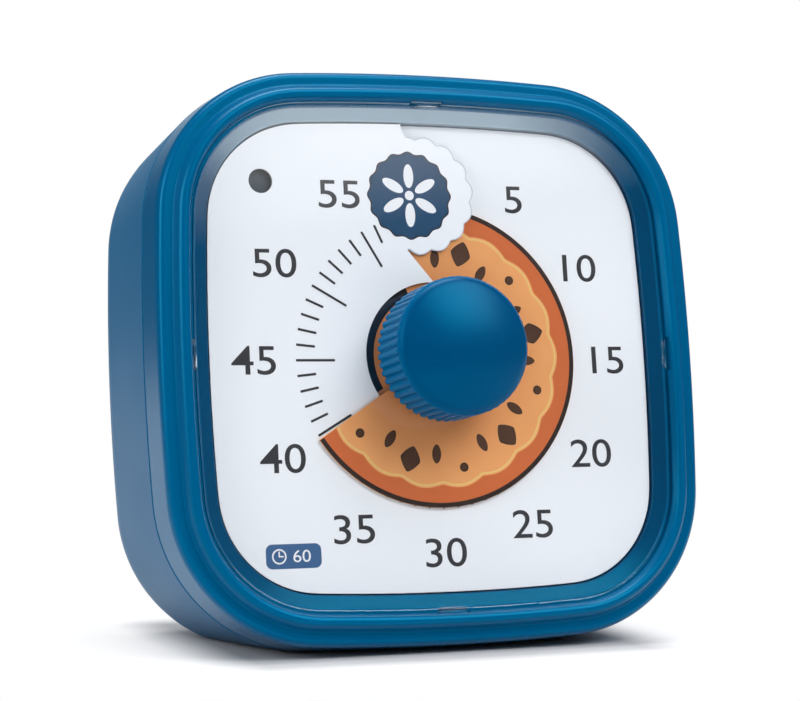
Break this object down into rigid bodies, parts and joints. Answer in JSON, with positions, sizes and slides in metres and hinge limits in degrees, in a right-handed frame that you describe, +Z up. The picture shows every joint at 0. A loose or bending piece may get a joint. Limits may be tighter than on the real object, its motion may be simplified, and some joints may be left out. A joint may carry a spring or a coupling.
{
  "type": "visual countdown timer",
  "caption": "Square desk-top visual countdown timer with a ribbed centre knob and a coloured disc that winds back under the printed dial as the time runs out.",
  "frame": {"origin": "on the table, under the middle of the timer's box", "axes": "+Z up, the dial faces -Y and leans back 8 degrees, +X to the right as seen by the user"},
  "size_m": [0.09, 0.0602, 0.0896],
  "materials": {
    "case_blue": "satin moulded",
    "clear_window": "polished clear",
    "printed_card": "printed sheet",
    "printed_disc": "printed sheet",
    "white_plastic": "moulded acetal",
    "smoked_plastic": "smoked",
    "steel": "plated",
    "brass_contact": "rolled",
    "grey_plastic": "moulded",
    "magnet": "sintered",
    "copper_winding": "enamelled",
    "rubber_feet": "matt",
    "cell_jacket": "satin",
    "nickel_contact": "nickel plated",
    "board_green": "solder mask",
    "black_plastic": "moulded",
    "lamp_red": "clear tinted",
    "wire_red": "insulated",
    "wire_black": "insulated"
  },
  "bodies": {
    "case": {"front_case": "case_blue", "rear_case": "case_blue", "dial_lens": "clear_window", "dial_card": "printed_card", "led_window": "smoked_plastic", "alarm_contact": "brass_contact", "movement_cover": "grey_plastic", "movement_base": "grey_plastic", "movement_screws": "steel", "stator": "steel", "coil_bobbin": "grey_plastic", "coil_winding": "copper_winding", "rubber_feet": "rubber_feet", "case_screws": "steel", "battery": "cell_jacket", "battery_plate": "nickel_contact", "battery_spring": "nickel_contact", "circuit_board": "board_green", "board_screws": "steel", "controller_chip": "black_plastic", "crystal": "nickel_contact", "capacitors": "black_plastic", "resistors": "black_plastic", "switch_body": "black_plastic", "buzzer_case": "black_plastic", "piezo_disc": "brass_contact", "led": "lamp_red", "led_board": "board_green", "battery_lead_red": "wire_red", "battery_lead_black": "wire_black", "coil_leads": "copper_winding", "lamp_leads": "wire_black"},
    "knob_assembly": {"knob": "case_blue", "spindle": "steel", "clutch_spring": "steel", "alarm_cam": "white_plastic"},
    "disc_assembly": {"timer_disc": "printed_disc", "disc_hub": "white_plastic"},
    "centre_wheel_body": {"centre_wheel": "white_plastic"},
    "third_wheel_body": {"third_wheel": "white_plastic"},
    "fourth_wheel_body": {"fourth_wheel": "white_plastic"},
    "fifth_wheel_body": {"fifth_wheel": "white_plastic"},
    "rotor": {"rotor_pinion": "white_plastic", "rotor_magnet": "magnet"},
    "door": {"battery_door": "case_blue"},
    "slider": {"volume_slider": "black_plastic"}
  },
  "joints": [
    {"name": "knob_turn", "type": "hinge", "parent": "case", "child": "knob_assembly", "pos_m": [0, -0.01592, 0.04541], "axis": [0, 0.9903, -0.1392], "range_deg": [-237, 123]},
    {"name": "disc_rise", "type": "slide", "parent": "knob_assembly", "child": "disc_assembly", "axis": [0, -0.9903, 0.1392], "range_m": [-0.00067, 0.00035]},
    {"name": "rotor_spin", "type": "hinge", "parent": "case", "child": "rotor", "pos_m": [-0.01249, -0.0172, 0.03632], "axis": [0, 0.9903, -0.1392], "continuous": true},
    {"name": "fifth_wheel_spin", "type": "hinge", "parent": "case", "child": "fifth_wheel_body", "pos_m": [-0.01557, -0.01602, 0.04469], "axis": [0, 0.9903, -0.1392], "continuous": true},
    {"name": "fourth_wheel_spin", "type": "hinge", "parent": "case", "child": "fourth_wheel_body", "pos_m": [-0.01198, -0.01465, 0.05447], "axis": [0, 0.9903, -0.1392], "continuous": true},
    {"name": "third_wheel_spin", "type": "hinge", "parent": "case", "child": "third_wheel_body", "pos_m": [0, -0.01404, 0.05878], "axis": [0, 0.9903, -0.1392], "continuous": true},
    {"name": "centre_wheel_spin", "type": "hinge", "parent": "case", "child": "centre_wheel_body", "pos_m": [0, -0.01592, 0.04541], "axis": [0, 0.9903, -0.1392], "continuous": true},
    {"name": "door_hinge", "type": "hinge", "parent": "case", "child": "door", "pos_m": [0, 0.02205, 0.01382], "axis": [-1, 0, 0], "range_deg": [0, 95]},
    {"name": "slider_travel", "type": "slide", "parent": "case", "child": "slider", "axis": [1, 0, 0], "range_m": [-0.002, 0.002]}
  ],
  "couplings": [
    {"joint": "disc_rise", "follows": "knob_turn", "m_per_rad": 0.00015915},
    {"joint": "third_wheel_spin", "follows": "centre_wheel_spin", "ratio": -8},
    {"joint": "fourth_wheel_spin", "follows": "centre_wheel_spin", "ratio": 60},
    {"joint": "fifth_wheel_spin", "follows": "centre_wheel_spin", "ratio": -360},
    {"joint": "rotor_spin", "follows": "centre_wheel_spin", "ratio": 1800}
  ]
}
